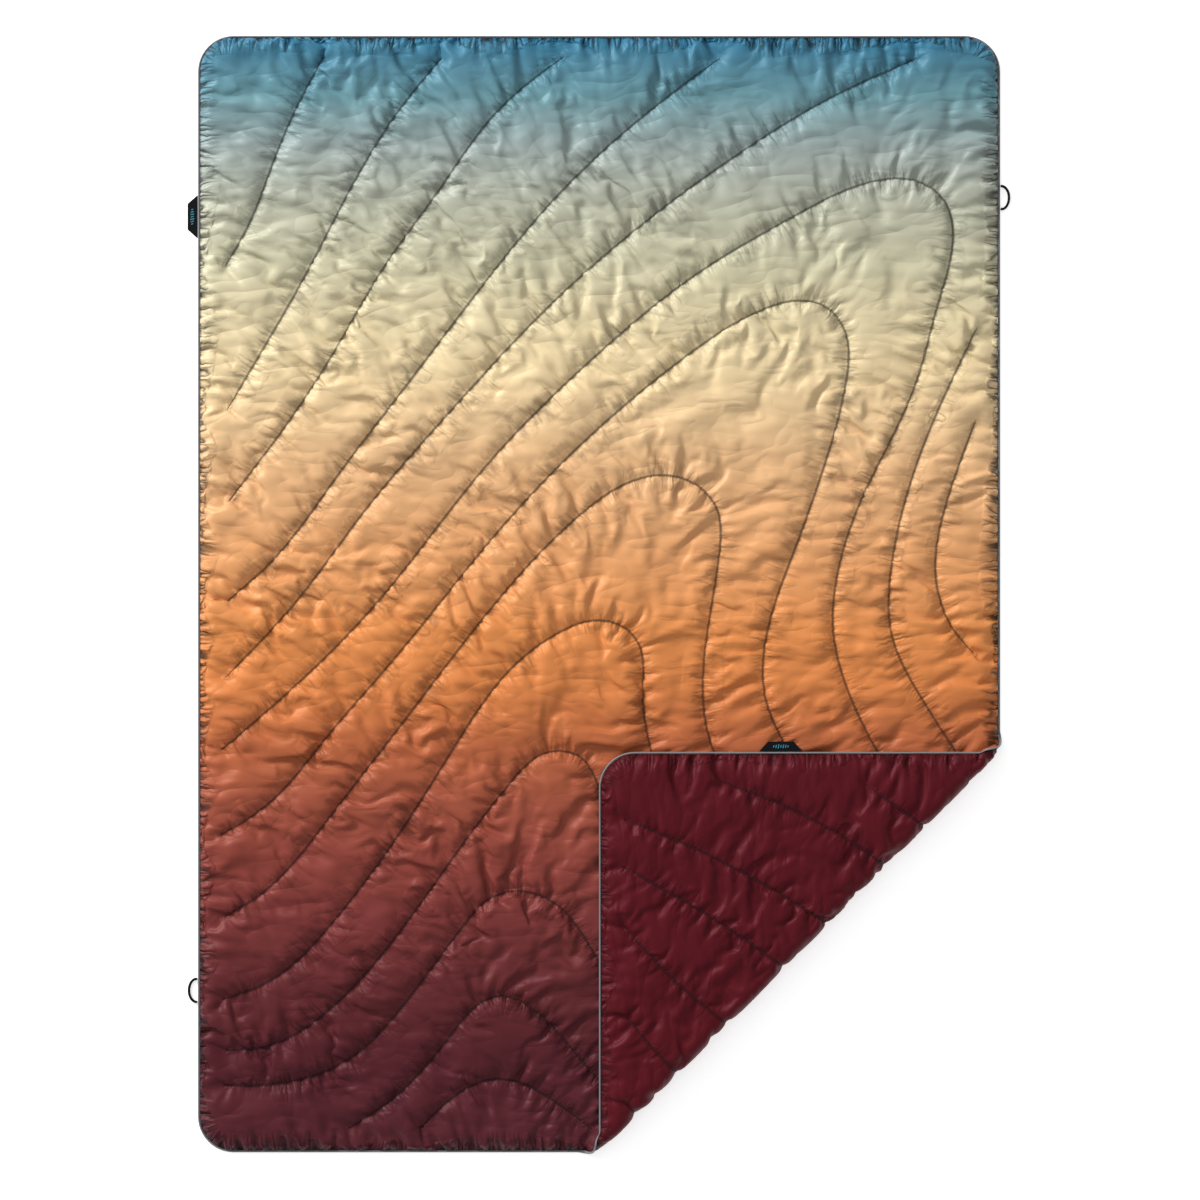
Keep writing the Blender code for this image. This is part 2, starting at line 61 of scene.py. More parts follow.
WIDTH, LENGTH, CORNER_RADIUS = 1.340, 1.865, 0.060
SHELL_INSET = 0.0037      # the shells stop inside the piping
HALF_PRESSED = 0.0017     # half the thickness where the layers are sewn together
EDGE_HEIGHT = 0.0020      # of the pressed edge's middle, as it lies
SEAM_HEIGHT = 0.0090      # of the layers' middle at an inner seam
LOFT = 0.0240             # at the crown of a puff
DRAPE_REACH = 0.090
FOLD_AT = 0.9325          # the fold line is x - y = FOLD_AT
FOLD_AXIS_HEIGHT = 0.0243
HINGE_CLEAR = 0.00031     # the layers inside the fold stay this far from the hinge's height
INSIDE_FOLD = 0.0040      # from the fold line, where that begins

SEAMS = {
    "01": [(-0.460, 0.895), (-0.511, 0.797), (-0.549, 0.704), (-0.583, 0.618), (-0.623, 0.547)],
    "02": [(-0.263, 0.894), (-0.330, 0.811), (-0.400, 0.702), (-0.484, 0.542), (-0.558, 0.412),
           (-0.620, 0.308)],
    "03": [(-0.059, 0.897), (-0.172, 0.802), (-0.265, 0.676), (-0.358, 0.546), (-0.444, 0.400),
           (-0.544, 0.251), (-0.618, 0.155)],
    "04": [(0.201, 0.894), (0.055, 0.781), (-0.075, 0.658), (-0.200, 0.507), (-0.335, 0.330),
           (-0.442, 0.189), (-0.553, 0.047), (-0.620, -0.011)],
    "05": [(0.526, 0.891), (0.403, 0.836), (0.254, 0.748), (0.101, 0.639), (-0.075, 0.488),
           (-0.252, 0.300), (-0.395, 0.133), (-0.502, -0.009), (-0.623, -0.139)],
    "06": [(-0.628, -0.259), (-0.488, -0.136), (-0.358, 0.000), (-0.198, 0.202), (0.000, 0.402),
           (0.171, 0.539), (0.329, 0.632), (0.463, 0.689), (0.533, 0.687), (0.577, 0.653),
           (0.590, 0.604), (0.566, 0.486), (0.528, 0.351), (0.436, 0.154), (0.394, 0.012),
           (0.390, -0.053), (0.424, -0.183), (0.466, -0.266), (0.544, -0.388), (0.617, -0.492)],
    "07": [(-0.630, -0.402), (-0.553, -0.351), (-0.460, -0.246), (-0.344, -0.111), (-0.172, 0.100),
           (0.000, 0.277), (0.138, 0.391), (0.268, 0.472), (0.338, 0.489), (0.380, 0.477),
           (0.411, 0.435), (0.413, 0.360), (0.375, 0.212), (0.324, 0.068), (0.278, -0.076),
           (0.280, -0.183), (0.306, -0.243), (0.360, -0.325), (0.478, -0.454), (0.544, -0.552),
           (0.599, -0.669), (0.621, -0.731)],
    "08": [(-0.625, -0.539), (-0.562, -0.499), (-0.456, -0.381), (-0.326, -0.213), (-0.154, 0.007),
           (-0.028, 0.135), (0.041, 0.182), (0.100, 0.198), (0.157, 0.185), (0.194, 0.147),
           (0.200, 0.063), (0.179, -0.076), (0.179, -0.220), (0.224, -0.330), (0.300, -0.440),
           (0.382, -0.550), (0.464, -0.682), (0.511, -0.775), (0.559, -0.891)],
    "09": [(-0.627, -0.676), (-0.562, -0.652), (-0.437, -0.539), (-0.330, -0.395), (-0.228, -0.234),
           (-0.149, -0.127), (-0.066, -0.064), (0.000, -0.044), (0.050, -0.062), (0.071, -0.097),
           (0.073, -0.150), (0.088, -0.264), (0.140, -0.380), (0.216, -0.493), (0.310, -0.622),
           (0.397, -0.747), (0.480, -0.894)],
    "10": [(-0.620, -0.762), (-0.548, -0.752), (-0.451, -0.694), (-0.330, -0.560), (-0.219, -0.406),
           (-0.149, -0.316), (-0.084, -0.264), (-0.033, -0.271), (0.000, -0.322), (0.048, -0.430),
           (0.120, -0.570), (0.216, -0.716), (0.306, -0.822), (0.381, -0.891)],
    "11": [(-0.625, -0.820), (-0.525, -0.815), (-0.414, -0.773), (-0.335, -0.696), (-0.228, -0.555),
           (-0.177, -0.505), (-0.126, -0.496), (-0.075, -0.515), (0.000, -0.613), (0.060, -0.700),
           (0.134, -0.799), (0.230, -0.887)],
    "12": [(-0.418, -0.891), (-0.340, -0.838), (-0.237, -0.722), (-0.191, -0.678), (-0.163, -0.671),
           (-0.107, -0.696), (0.000, -0.810), (0.085, -0.885)],
    "13": [(-0.296, -0.889), (-0.224, -0.826), (-0.177, -0.809), (-0.098, -0.831),
           (-0.012, -0.893)],
    "14": [(0.630, 0.442), (0.579, 0.337), (0.512, 0.161), (0.486, 0.031), (0.488, -0.067),
           (0.535, -0.169), (0.612, -0.289)],
    "15": [(0.628, 0.287), (0.575, 0.137), (0.561, 0.035), (0.593, -0.062), (0.625, -0.099)],
}


def smooth_line(points, step):
    """A natural cubic spline through the points, read at about every step."""
    points = np.array(points, float)
    along = np.concatenate([[0], np.cumsum(np.hypot(*np.diff(points, axis=0).T))])
    h, n = np.diff(along), len(points)
    system, right = np.eye(n), np.zeros((n, 2))
    for i in range(1, n - 1):
        system[i, i - 1:i + 2] = h[i - 1], 2 * (h[i - 1] + h[i]), h[i]
        right[i] = 6 * ((points[i + 1] - points[i]) / h[i] - (points[i] - points[i - 1]) / h[i - 1])
    bend = np.linalg.solve(system, right)
    at = np.linspace(0, along[-1], int(along[-1] / step) + 2)
    i = np.clip(np.searchsorted(along, at, side="right") - 1, 0, n - 2)
    a, b, width = (along[i + 1] - at)[:, None], (at - along[i])[:, None], h[i][:, None]
    curve = (bend[i] * a ** 3 + bend[i + 1] * b ** 3) / (6 * width)
    curve += (points[i] / width - bend[i] * width / 6) * a
    return curve + (points[i + 1] / width - bend[i + 1] * width / 6) * b


def outline(inset, arc_steps=12):
    """The rounded outline, anticlockwise and closed."""
    half_x, half_y, radius = WIDTH / 2 - inset, LENGTH / 2 - inset, CORNER_RADIUS - inset
    line = []
    for quarter, (sign_x, sign_y) in enumerate([(1, 1), (-1, 1), (-1, -1), (1, -1)]):
        centre = np.array([sign_x * (half_x - radius), sign_y * (half_y - radius)])
        for k in range(arc_steps + 1):
            angle = (quarter + k / arc_steps) * math.pi / 2
            line.append(centre + radius * np.array([math.cos(angle), math.sin(angle)]))
    return np.array(line + line[:1])


def inside_edge(points, inset=SHELL_INSET):
    """Distance inside the rounded outline."""
    q = np.abs(points) - np.array([WIDTH / 2 - CORNER_RADIUS, LENGTH / 2 - CORNER_RADIUS])
    return CORNER_RADIUS - inset - np.hypot(*np.maximum(q, 0).T) - np.minimum(q.max(axis=1), 0)


def beyond_fold(points):
    """Distance past the fold line, into the corner."""
    return (points[:, 0] - points[:, 1] - FOLD_AT) / math.sqrt(2)


def smooth(share):
    """0 to 1 with a flat start and end."""
    return share * share * (3 - 2 * share)


def middle_height(points):
    """Height of the sewn layers' middle, unfolded: a seam hangs between the puffs, the panel's
    edge lies on the floor, and the corner's edge comes to lie on the panel when it is folded."""
    past = smooth(np.clip(beyond_fold(points) / LOFT * 0.5 + 0.5, 0, 1))
    share = smooth(np.clip(inside_edge(points) / DRAPE_REACH, 0, 1))
    edge = EDGE_HEIGHT + (LOFT - 2 * EDGE_HEIGHT) * past
    return edge + (SEAM_HEIGHT - edge) * share


def fold_over(points):
    """Turns the lower right corner of the flat, unfolded blanket over onto the panel. The layers
    go round the fold in a half circle about the line that they meet on inside it."""
    made = np.array(points, float)
    past = beyond_fold(made)
    half = LOFT           # half the width of flat cloth that goes round the fold
    turn = math.pi * np.clip((past + half) / (2 * half), 0, 1)
    radius = FOLD_AXIS_HEIGHT - made[:, 2]
    new = np.where(past > half, -past, np.where(past < -half, past, -half + radius * np.sin(turn)))
    made[:, 2] = np.where(past < -half, made[:, 2], FOLD_AXIS_HEIGHT - radius * np.cos(turn))
    # inside the fold, cloth of the panel stays under the hinge's height and the corner's over it
    low, high = FOLD_AXIS_HEIGHT - HINGE_CLEAR, FOLD_AXIS_HEIGHT + HINGE_CLEAR
    apart = np.where(past < 0, np.minimum(made[:, 2], low), np.maximum(made[:, 2], high))
    made[:, 2] = np.where(new < -INSIDE_FOLD, apart, made[:, 2])
    shift = (new - past) / math.sqrt(2)
    made[:, 0] += shift
    made[:, 1] -= shift
    return made


seam_lines = {name: smooth_line(points, 0.001) for name, points in SEAMS.items()}


def arc_length(line):
    return np.concatenate([[0], np.cumsum(np.sqrt((np.diff(line, axis=0) ** 2).sum(1)))])


def read_at(line, at):
    along = arc_length(line)
    return np.stack([np.interp(at, along, line[:, k]) for k in range(line.shape[1])], axis=1)


# --- The shells, before they are stuffed ---------------------------------------------------------
# Both shells are cut alike and sewn together along the same lines, so one net of triangles
# serves both. It has a row of corners on every seam and on the edge, and is made finer twice
# while the cloth settles.

NET_STEP = 0.0210
ROW_GAP = math.sqrt(0.75)         # of triangles with equal sides, for a side of 1
UNEVEN_NET = 0.13                 # how far the free points wander, in steps
CLEAR_OF_LINES = 0.6              # of a free point, in steps
EARLY_RUMPLE = 0.002              # metres
draw = np.random.default_rng(20)


def first_net():
    """The flat points, the triangles, and each sewn line with its points' places along it."""
    chains, points, sewn, count = [], [], [], 0
    edge = outline(SHELL_INSET)
    whole = arc_length(edge)[-1]
    at = np.linspace(0, whole, int(whole / NET_STEP) + 1)
    points.append(read_at(edge, at[:-1]))
    count = len(at) - 1
    chains.append((edge, at, np.append(np.arange(count), 0)))
    for line in seam_lines.values():
        whole = arc_length(line)[-1]
        at = np.linspace(0, whole, round(whole / NET_STEP) + 1)
        points.append(read_at(line, at))
        ids = count + np.arange(len(at))
        sewn += list(zip(ids[:-1].tolist(), ids[1:].tolist()))
        chains.append((line, at, ids))
        count += len(at)
    rows = int(LENGTH / (NET_STEP * ROW_GAP))
    columns = int(WIDTH / NET_STEP)
    across = np.linspace(-WIDTH / 2, WIDTH / 2, columns + 1)
    free = np.vstack([np.stack([across + (j % 2) * NET_STEP / 2,
                                np.full(columns + 1, -LENGTH / 2 + LENGTH * j / rows)], axis=1)
                      for j in range(rows + 1)])
    free += draw.normal(0, NET_STEP * UNEVEN_NET, free.shape)
    free = free[inside_edge(free) > NET_STEP * CLEAR_OF_LINES]
    free = free[distance_to_seam(free)[0] > NET_STEP * CLEAR_OF_LINES]
    everything = np.vstack(points + [free])
    net = delaunay_2d_cdt([Vector(p) for p in everything], sewn,
                          [list(range(len(chains[0][1]) - 1))], 1, 1e-7)
    became = np.full(len(everything), -1)
    for new, olds in enumerate(net[3]):
        for old in olds:
            became[old] = new
    return (np.array([tuple(v) for v in net[0]]), np.array([tuple(t) for t in net[2]]),
            [(line, at, became[ids]) for line, at, ids in chains])


seam_cloud = np.vstack([line[::3] for line in seam_lines.values()])
seam_directions = np.vstack([(np.gradient(line, axis=0)
                              / np.hypot(*np.gradient(line, axis=0).T)[:, None])[::3]
                             for line in seam_lines.values()])


def tree_of(points):
    tree = KDTree(len(points))
    for i, (x, y) in enumerate(points):
        tree.insert((x, y, 0), i)
    tree.balance()
    return tree


seam_tree = tree_of(seam_cloud)


def distance_to_seam(points):
    """Each point's distance to the nearest seam, and that seam's direction there."""
    found = [seam_tree.find((x, y, 0)) for x, y in points]
    return np.array([f[2] for f in found]), seam_directions[[f[1] for f in found]]


def net_edges(faces):
    """The net's edges, which edge each triangle side is, and how many triangles share it."""
    pairs = np.sort(np.vstack([faces[:, [0, 1]], faces[:, [1, 2]], faces[:, [2, 0]]]), axis=1)
    key = pairs[:, 0] * (faces.max() + 1) + pairs[:, 1]
    _, first, back, uses = np.unique(key, return_index=True, return_inverse=True,
                                     return_counts=True)
    return pairs[first], back.ravel(), uses


def finer(flat, faces, lifts, chains):
    """Every triangle becomes four. New points on a seam or the edge move onto its line."""
    pairs, back, _ = net_edges(faces)
    n, m = len(flat), len(faces)
    a, b, c = faces.T
    ab, bc, ca = n + back.reshape(3, m)
    new_faces = np.vstack([np.stack(corners, 1) for corners in
                           ((a, ab, ca), (ab, b, bc), (ca, bc, c), (ab, bc, ca))])
    halfway = (flat[pairs[:, 0]] + flat[pairs[:, 1]]) / 2
    new_lifts = [np.vstack([x, (x[pairs[:, 0]] + x[pairs[:, 1]]) / 2]) for x in lifts]
    new_flat = np.vstack([flat, halfway])
    look = {(int(p), int(q)): n + k for k, (p, q) in enumerate(pairs)}
    new_chains = []
    for line, at, ids in chains:
        middle = np.array([look[min(p, q), max(p, q)]
                           for p, q in zip(ids[:-1].tolist(), ids[1:].tolist())])
        at_middle = (at[1:] + at[:-1]) / 2
        place = read_at(line, at_middle)
        for x in new_lifts:
            x[middle, :2] += place - new_flat[middle]
        new_flat[middle] = place
        all_at, all_ids = np.empty(2 * len(at) - 1), np.empty(2 * len(at) - 1, int)
        all_at[::2], all_at[1::2], all_ids[::2], all_ids[1::2] = at, at_middle, ids, middle
        new_chains.append((line, all_at, all_ids))
    return new_flat, new_faces, new_lifts, new_chains


# --- Stuffing the shells -------------------------------------------------------------------------
# Downproof taffeta is cut a little larger than the quilting lets it lie, most of all along the
# seams, where the stitches gather it. The sheet of fill pushes it up between the seams. The cloth
# then settles into the creases and puckers of a quilt that was packed and shaken out.

GATHER, GATHER_REACH = 0.055, 0.014    # spare cloth beside a seam, and how far from it
EDGE_GATHER, EDGE_REACH = 0.200, 0.020     # the same beside the piping
LENGTHWISE, CHANNEL = 0.085, 0.065     # spare cloth along a channel, and its reach from a seam
SPARE, SPARE_START = 0.020, 0.012      # in every direction over a puff, in full this far up it
TWIST, TWIST_SIZE = 0.60, 0.07         # how far the creases wander in radians, and over what
STEEP, GENTLE, STEEP_SHARE = 0.0055, 0.045, 0.62       # a puff's rise: two reaches, and a share
CREASE, CREASE_START = 0.0080, 0.030   # creases in the fill's own top
CREASE_BEND, CREASE_BEND_SIZE = 0.012, 0.06
CREASE_SIZES = ((0.075, 0.8), (0.042, 0.6), (0.026, 0.35))
UNEVEN_GATHER, UNEVEN_SPARE = (0.045, 0.11), (0.05, 0.10)      # sizes of the patches
STUFFING, PRESSURE = 0.0015, 3e-6      # how firmly the fill holds the cloth and pushes it out
STIFF, CARRY = 1.6, 0.9                # how fast the cloth evens out, and keeps moving
SETTLING = (260, 180, 80)              # rounds at each fineness of the net
BENDING = (0.0, 0.3, 0.3)


def smooth_noise(points, size, seed):
    """Random swells about size metres across."""
    source = np.random.default_rng(seed)
    grid = source.normal(0, 1, (int(WIDTH / size) + 4, int(LENGTH / size) + 4))
    u, v = (points[:, 0] + WIDTH / 2) / size + 1, (points[:, 1] + LENGTH / 2) / size + 1
    i, j = np.floor(u).astype(int), np.floor(v).astype(int)
    u, v = u - i, v - j
    u, v = smooth(u), smooth(v)
    return ((grid[i, j] * (1 - u) + grid[i + 1, j] * u) * (1 - v)
            + (grid[i, j + 1] * (1 - u) + grid[i + 1, j + 1] * u) * v)


def puff(distance):
    """0 at a seam and 1 at the crown: steep beside the stitches, then gentle."""
    steep, gentle = np.clip(distance / STEEP, 0, 1), np.clip(distance / GENTLE, 0, 1)
    return (STEEP_SHARE * np.sqrt(steep * (2 - steep))
            + (1 - STEEP_SHARE) * np.sqrt(gentle * (2 - gentle)))


def creases(points, seed):
    """A field of sharp creases between smooth swells, in no set direction."""
    bent = points + CREASE_BEND * np.stack([smooth_noise(points, CREASE_BEND_SIZE, seed + k)
                                            for k in (1, 2)], axis=1)
    bent = np.clip(bent, [-WIDTH / 2, -LENGTH / 2], [WIDTH / 2, LENGTH / 2])
    total = 0
    for k, (size, share) in enumerate(CREASE_SIZES):
        total = total + share * (np.abs(smooth_noise(bent, size, seed + 10 + k)) - 0.6)
    return total


def settle(flat, faces, lift, chains, rounds, bending, depth, seed):
    """Lets the cloth find its shape. lift is (x, y, height over the pressed layers). Near a line
    the spare cloth is taken up along that line, so its creases run away from it."""
    to_seam, direction = distance_to_seam(flat)
    to_edge = np.maximum(inside_edge(flat), 0)
    sewn = np.zeros(len(flat), bool)
    for _, _, ids in chains:
        sewn[ids] = True
    distance = np.where(sewn, 0, np.minimum(to_seam, to_edge))
    small = 1e-4
    across = np.stack([inside_edge(flat + [small, 0]) - inside_edge(flat - [small, 0]),
                       inside_edge(flat + [0, small]) - inside_edge(flat - [0, small])], axis=1)
    along = np.stack([-across[:, 1], across[:, 0]], axis=1)
    along /= np.maximum(np.hypot(*along.T), 1e-9)[:, None]
    near_seam, near_edge = 1 / (to_seam + 0.01) ** 2, 1 / (to_edge + 0.01) ** 2
    pull = [(near_seam * direction[:, i] * direction[:, j] + near_edge * along[:, i] * along[:, j])
            / (near_seam + near_edge) for i, j in ((0, 0), (0, 1), (1, 1))]
    wander = TWIST * smooth_noise(flat, TWIST_SIZE, seed + 41)
    cos, sin = np.cos(wander), np.sin(wander)
    xx, xy, yy = pull
    turned = [cos * cos * xx - 2 * cos * sin * xy + sin * sin * yy,
              cos * sin * (xx - yy) + (cos * cos - sin * sin) * xy,
              sin * sin * xx + 2 * cos * sin * xy + cos * cos * yy]
    pairs, back, uses = net_edges(faces)
    opposite = np.concatenate([faces[:, 2], faces[:, 0], faces[:, 1]])
    order = np.argsort(back, kind="stable")
    inner = order[np.flatnonzero(uses[back[order]] == 2)].reshape(-1, 2)
    hinges = np.stack([opposite[inner[:, 0]], opposite[inner[:, 1]]], axis=1)
    uneven, uneven_spare = (np.clip(1 + 0.6 * smooth_noise(flat, fine, seed + k)
                                    + 0.6 * smooth_noise(flat, coarse, seed + k + 1), 0.05, 3.5)
                            for k, (fine, coarse) in ((31, UNEVEN_GATHER), (33, UNEVEN_SPARE)))

    def cut_length(ends):
        a, b = ends.T
        step = flat[b] - flat[a]
        length = np.hypot(*step.T)
        step = step / length[:, None]
        mean = lambda field: (field[a] + field[b]) / 2
        share, wandering = (mean(xx) * step[:, 0] ** 2 + 2 * mean(xy) * step[:, 0] * step[:, 1]
                            + mean(yy) * step[:, 1] ** 2 for xx, xy, yy in (pull, turned))
        far = mean(distance)
        gather = GATHER + (EDGE_GATHER - GATHER) * np.exp(-mean(to_edge) / EDGE_REACH)
        return length * (1 + gather * np.exp(-far / GATHER_REACH) * mean(uneven) * share
                         + LENGTHWISE * np.exp(-(far / CHANNEL) ** 2) * mean(uneven_spare)
                         * wandering
                         + SPARE * mean(uneven_spare) * np.clip(far / SPARE_START, 0, 1))

    rest_pairs, rest_hinges = cut_length(pairs), cut_length(hinges)
    full = puff(distance)
    target = depth * full + CREASE * creases(flat, seed) * np.clip(distance / CREASE_START, 0, 1)
    n = len(flat)
    free = (~sewn)[:, None].astype(float)
    lift = lift.copy()
    lift[sewn, 2] = 0
    shared = [np.maximum(np.bincount(ends.ravel(), minlength=n), 1) for ends in (pairs, hinges)]
    weight_pairs = (STIFF / shared[0])[:, None] * free
    weight_hinges = bending * free / shared[1][:, None]

    def shift(x, ends, rest, weight):
        a, b = ends.T
        gap = x[b] - x[a]
        length = np.sqrt((gap * gap).sum(1))
        change = gap * ((length - rest) / np.maximum(length, 1e-9) * 0.5)[:, None]
        return np.stack([np.bincount(a, change[:, k], minlength=n)
                         - np.bincount(b, change[:, k], minlength=n)
                         for k in range(3)], axis=1) * weight

    before = lift.copy()
    for turn in range(rounds):
        speed, before = (lift - before) * CARRY, lift.copy()
        if turn % 3 == 0:
            normal = np.cross(lift[faces[:, 1]] - lift[faces[:, 0]],
                              lift[faces[:, 2]] - lift[faces[:, 0]])
            out = np.stack([np.bincount(faces.ravel(), np.repeat(normal[:, k], 3), minlength=n)
                            for k in range(3)], axis=1)
            out /= np.maximum(np.linalg.norm(out, axis=1), 1e-12)[:, None]
        push = out * PRESSURE
        push[:, 2] += STUFFING * (target - lift[:, 2])
        lift = lift + (speed + push) * free
        lift = lift + shift(lift, pairs, rest_pairs, weight_pairs)
        if bending:
            lift = lift + shift(lift, hinges, rest_hinges, weight_hinges)
        lift = lift + shift(lift, pairs, rest_pairs, weight_pairs)
    return lift


flat, faces, chains = first_net()
SLACK = 0.0060            # the crowns lie this far inside the full loft, to leave room for creases
seeds = (40, 70)          # the face shell's creases and the reverse's
lifts = []
for level, (rounds, bending) in enumerate(zip(SETTLING, BENDING)):
    if level:
        flat, faces, lifts, chains = finer(flat, faces, lifts, chains)
    middle = middle_height(flat)
    depths = (LOFT - SLACK - HALF_PRESSED - middle, middle - HALF_PRESSED - SLACK / 2)
    if not level:
        to_line = np.minimum(distance_to_seam(flat)[0], np.maximum(inside_edge(flat), 0))
        lifts = [np.column_stack([flat, depth * puff(to_line)
                                  + draw.normal(0, EARLY_RUMPLE, len(flat))])
                 for depth in depths]
    lifts = [settle(flat, faces, lift, chains, rounds, bending, depth, seed)
             for lift, depth, seed in zip(lifts, depths, seeds)]
middle = middle_height(flat)


KNEE = 0.003              # crowns are eased off from this far under their limit
LOWEST = -0.0008          # cloth may sink this far under the pressed layers
OFF_FLOOR = 0.0002


def soft_limit(height, top):
    """Heights near or over top are eased to just under it."""
    knee = top - KNEE
    over = np.maximum(height - knee, 0) / KNEE
    return np.where(height > knee, knee + KNEE * over / (1 + over), height)


rise, sink = (np.maximum(lift[:, 2], LOWEST) for lift in lifts)
face_height = soft_limit(middle + HALF_PRESSED + rise, LOFT)
reverse_height = -soft_limit(-(middle - HALF_PRESSED - sink), -OFF_FLOOR)


def srgb(code):
    """A hex colour as linear RGBA."""
    parts = [int(code[i:i + 2], 16) / 255 for i in (1, 3, 5)]
    return tuple(p / 12.92 if p <= 0.04045 else ((p + 0.055) / 1.055) ** 2.4 for p in parts) + (1,)


def material(name, code=None, roughness=0.5, specular=0.5):
    """A new material and its principled shader."""
    made = bpy.data.materials.new(name)
    made.use_nodes = True
    bsdf = made.node_tree.nodes["Principled BSDF"]
    if code:
        bsdf.inputs["Base Color"].default_value = srgb(code)
    bsdf.inputs["Roughness"].default_value = roughness
    bsdf.inputs["Specular IOR Level"].default_value = specular
    return made, bsdf


def node(made, kind, links=(), **values):
    """Adds a shader node. values are its settings or unlinked inputs; links are
    (input, output socket) pairs."""
    new = made.node_tree.nodes.new("ShaderNode" + kind)
    for key, value in values.items():
        if hasattr(new, key):
            setattr(new, key, value)
        else:
            new.inputs[key.replace("_", " ")].default_value = value
    for name, socket in links:
        made.node_tree.links.new(socket, new.inputs[name])
    return new


def put_in_scene(name, mesh, surface):
    mesh.materials.append(surface)
    made = bpy.data.objects.new(name, mesh)
    bpy.context.scene.collection.objects.link(made)
    return made


# --- Face shell --------------------------------------------------------------------------------
# Printed taffeta, calendered so that it has a soft satin sheen, dyed through from sea blue over
# sand and orange to wine red along the blanket's length.

FLAT_SIZE = (WIDTH, LENGTH)
SKY_TO_WINE = (
    (-0.932, "#512128"), (-0.760, "#4b1c22"), (-0.620, "#5e2628"), (-0.530, "#6e2f2d"),
    (-0.434, "#7f3a31"), (-0.341, "#954b37"), (-0.247, "#a85b37"), (-0.154, "#c77741"),
    (-0.060, "#cf8248"), (0.080, "#d29663"), (0.221, "#d3a87a"), (0.361, "#d8c095"),
    (0.455, "#d0c19b"), (0.548, "#bab598"), (0.642, "#a8a996"), (0.735, "#8f9a96"),
    (0.829, "#5f8790"), (0.932, "#1a6080"))


# Where each point lies from the nearest stitching: metres along that line, and away from it.
LINE_SPACING = 7.0        # between the lines' starts, so that no two share a place
LINE_STEP = 0.002
stitched_lines = list(seam_lines.values()) + [outline(SHELL_INSET)]
stitched_lines = [read_at(line, np.arange(0, arc_length(line)[-1], LINE_STEP))
                  for line in stitched_lines]
stitch_tree = tree_of(np.vstack(stitched_lines))
places = np.concatenate([arc_length(line) + LINE_SPACING * k
                         for k, line in enumerate(stitched_lines)])
nearest = [stitch_tree.find((x, y, 0)) for x, y in flat]
from_stitch = np.array([(places[index], away) for _, index, away in nearest])
from_stitch[np.concatenate([ids for _, _, ids in chains]), 1] = 0

# Halfway between two lines, and round the end of one, gathers have died out: those places count
# as far from any line.
MEETING_JUMP, MEETING_REACH, END_REACH, FAR_FROM_LINES = 0.030, 0.014, 0.040, 0.065
PUT_OFF_FROM, PUT_OFF_OVER = 0.004, 0.010      # but not beside the stitches themselves
meeting = np.unique(faces[np.ptp(from_stitch[faces, 0], axis=1) > MEETING_JUMP])
meeting_tree = tree_of(flat[meeting])
to_meeting = np.array([meeting_tree.find((x, y, 0))[2] for x, y in flat])
line_ends = np.array([line[k] for line in seam_lines.values() for k in (0, -1)])
to_end = np.array([np.linalg.norm(line_ends - place, axis=1).min() for place in flat])
share_far = np.maximum(1 - to_meeting / MEETING_REACH, 1 - to_end / END_REACH)
from_stitch[:, 1] += (FAR_FROM_LINES * np.clip(share_far, 0, 1)
                      * np.clip((from_stitch[:, 1] - PUT_OFF_FROM) / PUT_OFF_OVER, 0, 1))


def shell_object(name, lift, height, order, surface):
    """One shell, folded. order is 1 where the net faces up when flat, and -1 where it faces down."""
    place = fold_over(np.column_stack([lift[:, :2], height]))
    mesh = bpy.data.meshes.new(name)
    mesh.vertices.add(len(place))
    mesh.vertices.foreach_set("co", place.astype(np.float32).ravel())
    corners = faces[:, ::order].ravel()
    mesh.loops.add(len(corners))
    mesh.loops.foreach_set("vertex_index", corners.astype(np.int32))
    mesh.polygons.add(len(faces))
    mesh.polygons.foreach_set("loop_start", np.arange(0, len(corners), 3, dtype=np.int32))
    mesh.update(calc_edges=True)
    mesh.validate()
    cut = mesh.uv_layers.new(name="Cut")
    cut.data.foreach_set("uv", (flat / FLAT_SIZE + 0.5)[corners].astype(np.float32).ravel())
    near = mesh.uv_layers.new(name="FromStitch")
    near.data.foreach_set("uv", from_stitch[corners].astype(np.float32).ravel())
    mesh.polygons.foreach_set("use_smooth", np.ones(len(faces), bool))
    return put_in_scene(name, mesh, surface)


def crosses_fold(piece):
    """Bakes the piece's placement into its mesh; its corner side was already turned over by
    fold_over.
    """
    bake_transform(piece)


def print_ramp(made):
    """The print's colour at a point of the cut."""
    cut = node(made, "UVMap", uv_map="Cut")
    split = node(made, "SeparateXYZ", links=[("Vector", cut.outputs[0])])
    ramp = node(made, "ValToRGB", links=[("Fac", split.outputs["Y"])])
    stops = ramp.color_ramp.elements
    for k, (y, code) in enumerate(SKY_TO_WINE):
        stop = stops[k] if k < 2 else stops.new(1.0)
        stop.position = y / LENGTH + 0.5
        stop.color = srgb(code)
    return ramp.outputs["Color"]


def noise_of(made, vector, size, detail=1.0, distortion=0.0):
    """Noise round 0.5 whose features are about size metres wide."""
    return node(made, "TexNoise", links=[("Vector", vector)], noise_dimensions="2D",
                Scale=1 / size, Detail=detail, Roughness=0.45,
                Distortion=distortion).outputs["Fac"]


def math_node(made, operation, a, b=None):
    """The result of a sum on sockets or plain numbers."""
    new = node(made, "Math", operation=operation)
    for k, value in enumerate((a, b)):
        if isinstance(value, (int, float)):
            new.inputs[k].default_value = value
        elif value is not None:
            made.node_tree.links.new(value, new.inputs[k])
    return new.outputs[0]


def creased(made, noise, depth):
    """Smooth swells with sharp creases between them, depth metres high."""
    swell = math_node(made, "ABSOLUTE", math_node(made, "SUBTRACT", noise, 0.5))
    return math_node(made, "MULTIPLY", swell, 4 * depth)


